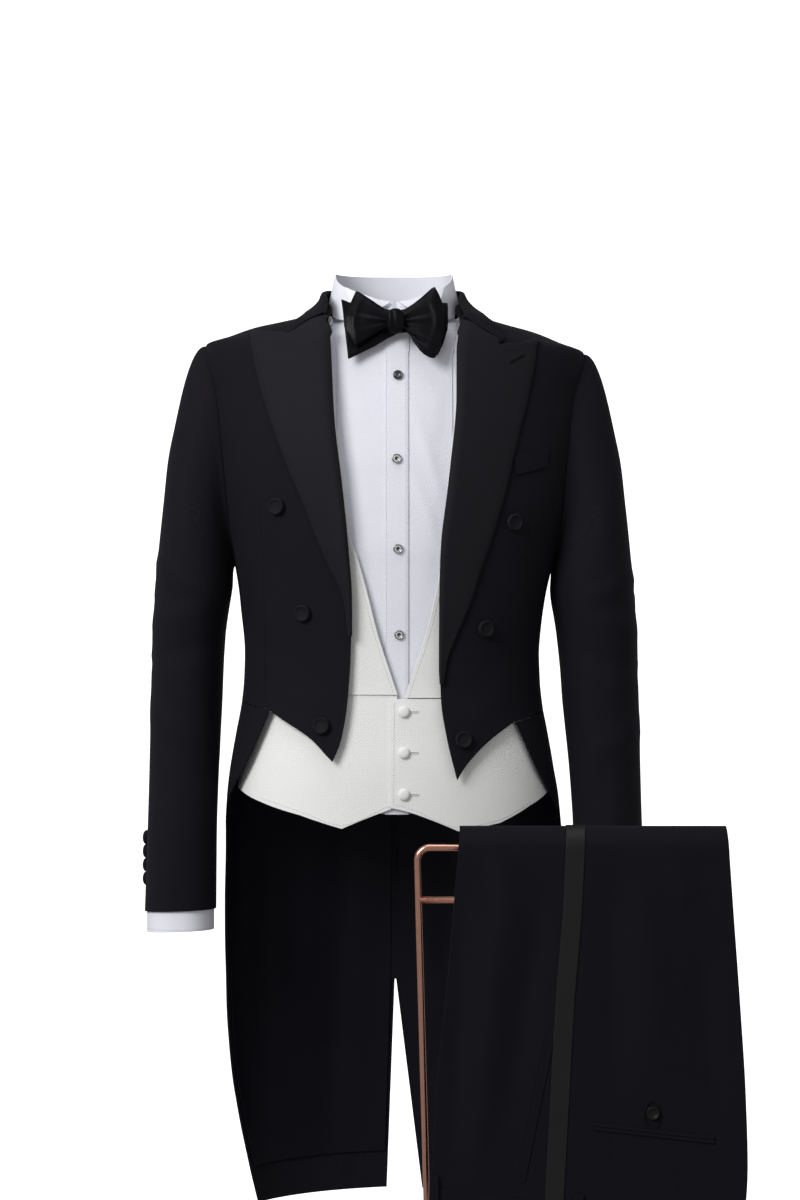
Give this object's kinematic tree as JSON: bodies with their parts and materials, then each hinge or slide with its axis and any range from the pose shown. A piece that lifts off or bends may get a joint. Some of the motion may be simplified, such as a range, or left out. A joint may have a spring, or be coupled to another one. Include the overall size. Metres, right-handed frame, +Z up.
{
  "type": "white-tie tailcoat tuxedo set with a trouser rack",
  "caption": "Black evening tailcoat with peaked lapels, white waistcoat, dress shirt and bow tie in worn form, and trousers folded over a copper rod rack.",
  "frame": {"origin": "middle of the wearer's neck, at the height where the coat collar is sewn on", "axes": "+Z up along the wearer, -Y the way the wearer faces, +X the wearer's left (the viewer's right)"},
  "size_m": [0.6802, 0.5647, 1.5431],
  "materials": {
    "black_wool": "fine black wool suiting with a soft nap",
    "black_satin": "black silk satin with a soft sheen",
    "lining_satin": "blue-black lining satin",
    "white_pique": "warm white cotton pique",
    "white_cotton": "cool white shirt cotton",
    "stud_metal": "polished stud metal",
    "copper_rod": "polished copper colour plating"
  },
  "bodies": {
    "root": {"back_pocket_button": "black_wool", "back_pocket_welt": "black_wool", "bow_band": "black_satin", "bow_blades": "black_satin", "bow_knot": "black_satin", "bow_loops": "black_satin", "breast_pocket_welt": "black_wool", "coat_back_left": "black_wool", "coat_back_right": "black_wool", "coat_button_left_1": "black_wool", "coat_button_left_2": "black_wool", "coat_button_left_3": "black_wool", "coat_button_right_1": "black_wool", "coat_button_right_2": "black_wool", "coat_button_right_3": "black_wool", "coat_collar": "black_wool", "coat_front_left": "black_wool", "coat_front_right": "black_wool", "coat_side_left": "black_wool", "coat_side_right": "black_wool", "coat_skirt_left": "black_wool", "coat_skirt_right": "black_wool", "coat_top_sleeve_left": "black_wool", "coat_top_sleeve_right": "black_wool", "coat_under_sleeve_left": "black_wool", "coat_under_sleeve_right": "black_wool", "cuff_buttons_left": "black_wool", "cuff_buttons_right": "black_wool", "lapel_left": "black_satin", "lapel_right": "black_satin", "shirt_back": "white_cotton", "shirt_collar_band": "white_cotton", "shirt_cuff_left": "white_cotton", "shirt_cuff_right": "white_cotton", "shirt_front_left": "white_cotton", "shirt_front_right": "white_cotton", "shirt_placket": "white_cotton", "shirt_stud_1": "stud_metal", "shirt_stud_2": "stud_metal", "shirt_stud_3": "stud_metal", "shirt_stud_4": "stud_metal", "shirt_wing_left": "white_cotton", "shirt_wing_right": "white_cotton", "tail_lining_left": "lining_satin", "tail_lining_right": "lining_satin", "trouser_back_panel": "black_wool", "trouser_braid": "black_satin", "trouser_front_panel": "black_wool", "trouser_inner_layers": "black_wool", "trouser_other_leg": "black_wool", "trouser_rack": "copper_rod", "trouser_waistband": "black_wool", "waistband_left": "white_pique", "waistband_right": "white_pique", "waistcoat_back": "white_pique", "waistcoat_button_1": "white_pique", "waistcoat_button_2": "white_pique", "waistcoat_button_3": "white_pique", "waistcoat_front_left": "white_pique", "waistcoat_front_right": "white_pique"}
  },
  "joints": []
}
